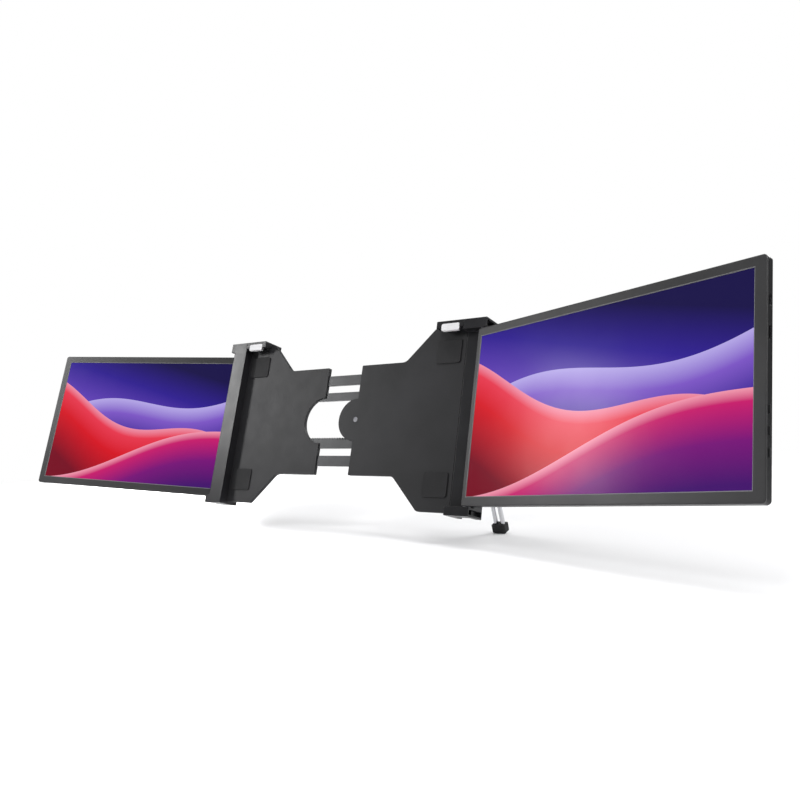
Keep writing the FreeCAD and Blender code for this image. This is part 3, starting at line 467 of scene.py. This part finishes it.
# Display frame with a painted highlight line where its bevel meets the picture
def bezel_plastic(side):
    material = new_material("bezel_" + side)
    weaver = Weaver(material)
    weaver.plain(BEZEL_DARK, 0.36, specular=PLASTIC_SHINE)
    across, up = picture_place(weaver, side)
    gaps = []
    for value, length in ((across, PICTURE_WIDTH), (up, PICTURE_HEIGHT)):
        below = weaver.calc("MULTIPLY", value, -1.0)
        above = weaver.calc("SUBTRACT", value, 1.0)
        outside = weaver.calc("MAXIMUM", below, above)
        gaps.append(weaver.calc("MULTIPLY", outside, length))
    beside = weaver.calc("MAXIMUM", gaps[0], gaps[1])
    # A painted highlight line on the bevel round the picture
    bevel_highlight = weaver.calc("LESS_THAN", beside, BEVEL_LINE)
    weaver.colour(weaver.mix(bevel_highlight, weaver.drift(18.0, BEZEL_DARK, BEZEL_LIGHT), EDGE_HIGHLIGHT_TONE))
    clouds = weaver.noise(scale=60.0, detail=4.0)
    weaver.roughness(weaver.spread(clouds, low=0.28, high=0.38))
    pits = weaver.noise(scale=3000.0, detail=3.0, rough=0.6)
    weaver.soft_edges(0.0007, weaver.bump(pits, depth=0.00002))
    return material


# Height of a rolling ridge line above the picture's lower edge
def ridge_line(weaver, across, shape):
    angle = weaver.calc("ADD", weaver.calc("MULTIPLY", across, shape["waves"]), shape["phase"])
    bend = weaver.calc("SINE", angle)
    slope = weaver.calc("ADD", weaver.calc("MULTIPLY", across, shape["tilt"]), shape["base"])
    return weaver.calc("ADD", slope, weaver.calc("MULTIPLY", bend, shape["swell"]))


# A ridge: a crisp lit crest that falls off into its own deep colour
def lay_ridge(weaver, below, up, line, shape):
    drop = weaver.calc("DIVIDE", weaver.calc("SUBTRACT", line, up), shape["depth"])
    cover = weaver.calc("GREATER_THAN", drop, 0.0)
    return weaver.mix(cover, below, weaver.ramp(drop, shape["stops"]))


# Generic picture: a dusk sky behind three rolling ridges
def display_picture(side):
    material = new_material("display_" + side)
    weaver = Weaver(material)
    weaver.plain(GLASS_TONE, 0.16, specular=GLASS_SHINE)
    across, up = picture_place(weaver, side)
    risen = weaver.calc("MULTIPLY", up, HAZE_UP)
    haze = weaver.calc("ADD", risen, weaver.calc("MULTIPLY", across, HAZE_ACROSS))
    picture = weaver.ramp(haze, SKY_STOPS)
    for shape in RIDGES:
        line = ridge_line(weaver, across, shape)
        picture = lay_ridge(weaver, picture, up, line, shape)
    weaver.link(picture, weaver.shader.inputs["Emission Color"])
    weaver.shader.inputs["Emission Strength"].default_value = PICTURE_GLOW
    clouds = weaver.noise(scale=45.0, detail=2.0)
    weaver.roughness(weaver.spread(clouds, low=0.13, high=0.20))
    return material


MAKERS = {
    "plate_plastic": plate_plastic,
    "strap_steel": strap_steel,
    "gloss_black": gloss_black,
    "steel": steel,
    "leg_aluminium": leg_aluminium,
    "rod_chrome": rod_chrome,
    "module_steel": module_steel,
    "board": board,
}


def dress(node, material):
    mesh = frame["nodes"][node].data
    mesh.materials.clear()
    mesh.materials.append(material)


def dress_nodes():
    made = {slot: moulded(slot, **look) for slot, look in MOULDED.items()}
    made.update({slot: maker() for slot, maker in MAKERS.items()})
    for part in frame["record"]["subparts"]:
        slot = part["material_slot"]
        if slot in made:
            dress(part["node"], made[slot])
    dress("leg_lock_button", made["steel"])
    for side in ("right", "left"):
        dress(side + "_display", display_picture(side))
        dress(side + "_bezel", bezel_plastic(side))
        dress(side + "_back_cover", case_plastic(side))


# The lowest point of all the solids
def floor_height():
    lows = []
    for node in frame["nodes"].values():
        lows.extend((node.matrix_world @ vertex.co).z for vertex in node.data.vertices)
    return min(lows)


# For the camera only, the floor fades to the background's white away from the object
def show_white_far_away(weaver):
    length = weaver.nodes.new("ShaderNodeVectorMath")
    length.operation = "LENGTH"
    weaver.link(weaver.place, length.inputs[0])
    fade = weaver.nodes.new("ShaderNodeMapRange")
    fade.interpolation_type = "SMOOTHSTEP"
    fade.inputs["From Min"].default_value = FADE_START
    fade.inputs["From Max"].default_value = FADE_END
    weaver.link(length.outputs["Value"], fade.inputs["Value"])
    path = weaver.nodes.new("ShaderNodeLightPath")
    amount = weaver.calc("MULTIPLY", fade.outputs["Result"], path.outputs["Is Camera Ray"])
    glow = weaver.nodes.new("ShaderNodeEmission")
    glow.inputs["Color"].default_value = (*SKY_TONE, 1.0)
    chooser = weaver.nodes.new("ShaderNodeMixShader")
    weaver.link(amount, chooser.inputs["Fac"])
    weaver.link(weaver.shader.outputs["BSDF"], chooser.inputs[1])
    weaver.link(glow.outputs["Emission"], chooser.inputs[2])
    weaver.link(chooser.outputs["Shader"], weaver.nodes["Material Output"].inputs["Surface"])


# Pale floor that a camera sees as nearly white
def make_floor():
    bpy.ops.mesh.primitive_plane_add(size=FLOOR_SIZE, location=(0, 0, floor_height()))
    floor = bpy.context.object
    floor.name = "floor"
    material = new_material("floor_paint")
    weaver = Weaver(material)
    weaver.plain(FLOOR_TONE, FLOOR_ROUGH, specular=FLOOR_SHINE)
    rougher = FLOOR_ROUGH + FLOOR_ROUGH_SPREAD
    weaver.roughness(weaver.spread(weaver.noise(scale=3.0), low=FLOOR_ROUGH, high=rougher))
    show_white_far_away(weaver)
    floor.data.materials.append(material)


# A sky that a camera sees as white, and that lights the object softly
def make_world():
    world = bpy.data.worlds.new("studio")
    world.use_nodes = True
    nodes = world.node_tree.nodes
    links = world.node_tree.links
    nodes.clear()
    output = nodes.new("ShaderNodeOutputWorld")
    lit = nodes.new("ShaderNodeBackground")
    seen = nodes.new("ShaderNodeBackground")
    chooser = nodes.new("ShaderNodeMixShader")
    path = nodes.new("ShaderNodeLightPath")
    lit.inputs["Color"].default_value = (*SKY_TONE, 1.0)
    lit.inputs["Strength"].default_value = SKY_FOR_LIGHT
    seen.inputs["Color"].default_value = (*SKY_TONE, 1.0)
    links.new(path.outputs["Is Camera Ray"], chooser.inputs["Fac"])
    links.new(lit.outputs["Background"], chooser.inputs[1])
    links.new(seen.outputs["Background"], chooser.inputs[2])
    links.new(chooser.outputs["Shader"], output.inputs["Surface"])
    bpy.context.scene.world = world


def make_lamp(name, place, target, size, power):
    data = bpy.data.lights.new(name, "AREA")
    data.shape = "RECTANGLE"
    data.size = size[0]
    data.size_y = size[1]
    data.energy = power
    lamp = bpy.data.objects.new(name, data)
    lamp.location = place
    aim = Vector(target) - Vector(place)
    lamp.rotation_euler = aim.to_track_quat("-Z", "Y").to_euler()
    bpy.context.scene.collection.objects.link(lamp)


# The photograph's front view, brought to the middle of the picture
def make_camera():
    data = bpy.data.cameras.new("camera")
    data.sensor_width = SENSOR
    data.lens = FOCAL
    data.shift_x = SHIFT_X
    data.shift_y = SHIFT_Y
    data.clip_start = NEAREST_SEEN
    camera = bpy.data.objects.new("camera", data)
    right = Vector(CAMERA_RIGHT).normalized()
    upward = Vector(CAMERA_UP).normalized()
    backward = right.cross(upward)
    turn = Matrix((right, upward, backward)).transposed().to_4x4()
    camera.matrix_world = Matrix.Translation(Vector(CAMERA_PLACE)) @ turn
    bpy.context.scene.collection.objects.link(camera)
    bpy.context.scene.camera = camera


bpy.context.scene.view_settings.view_transform = "Standard"
dress_nodes()
make_floor()
make_world()
for lamp_name, lamp in LAMPS.items():
    make_lamp(lamp_name, **lamp)
make_camera()
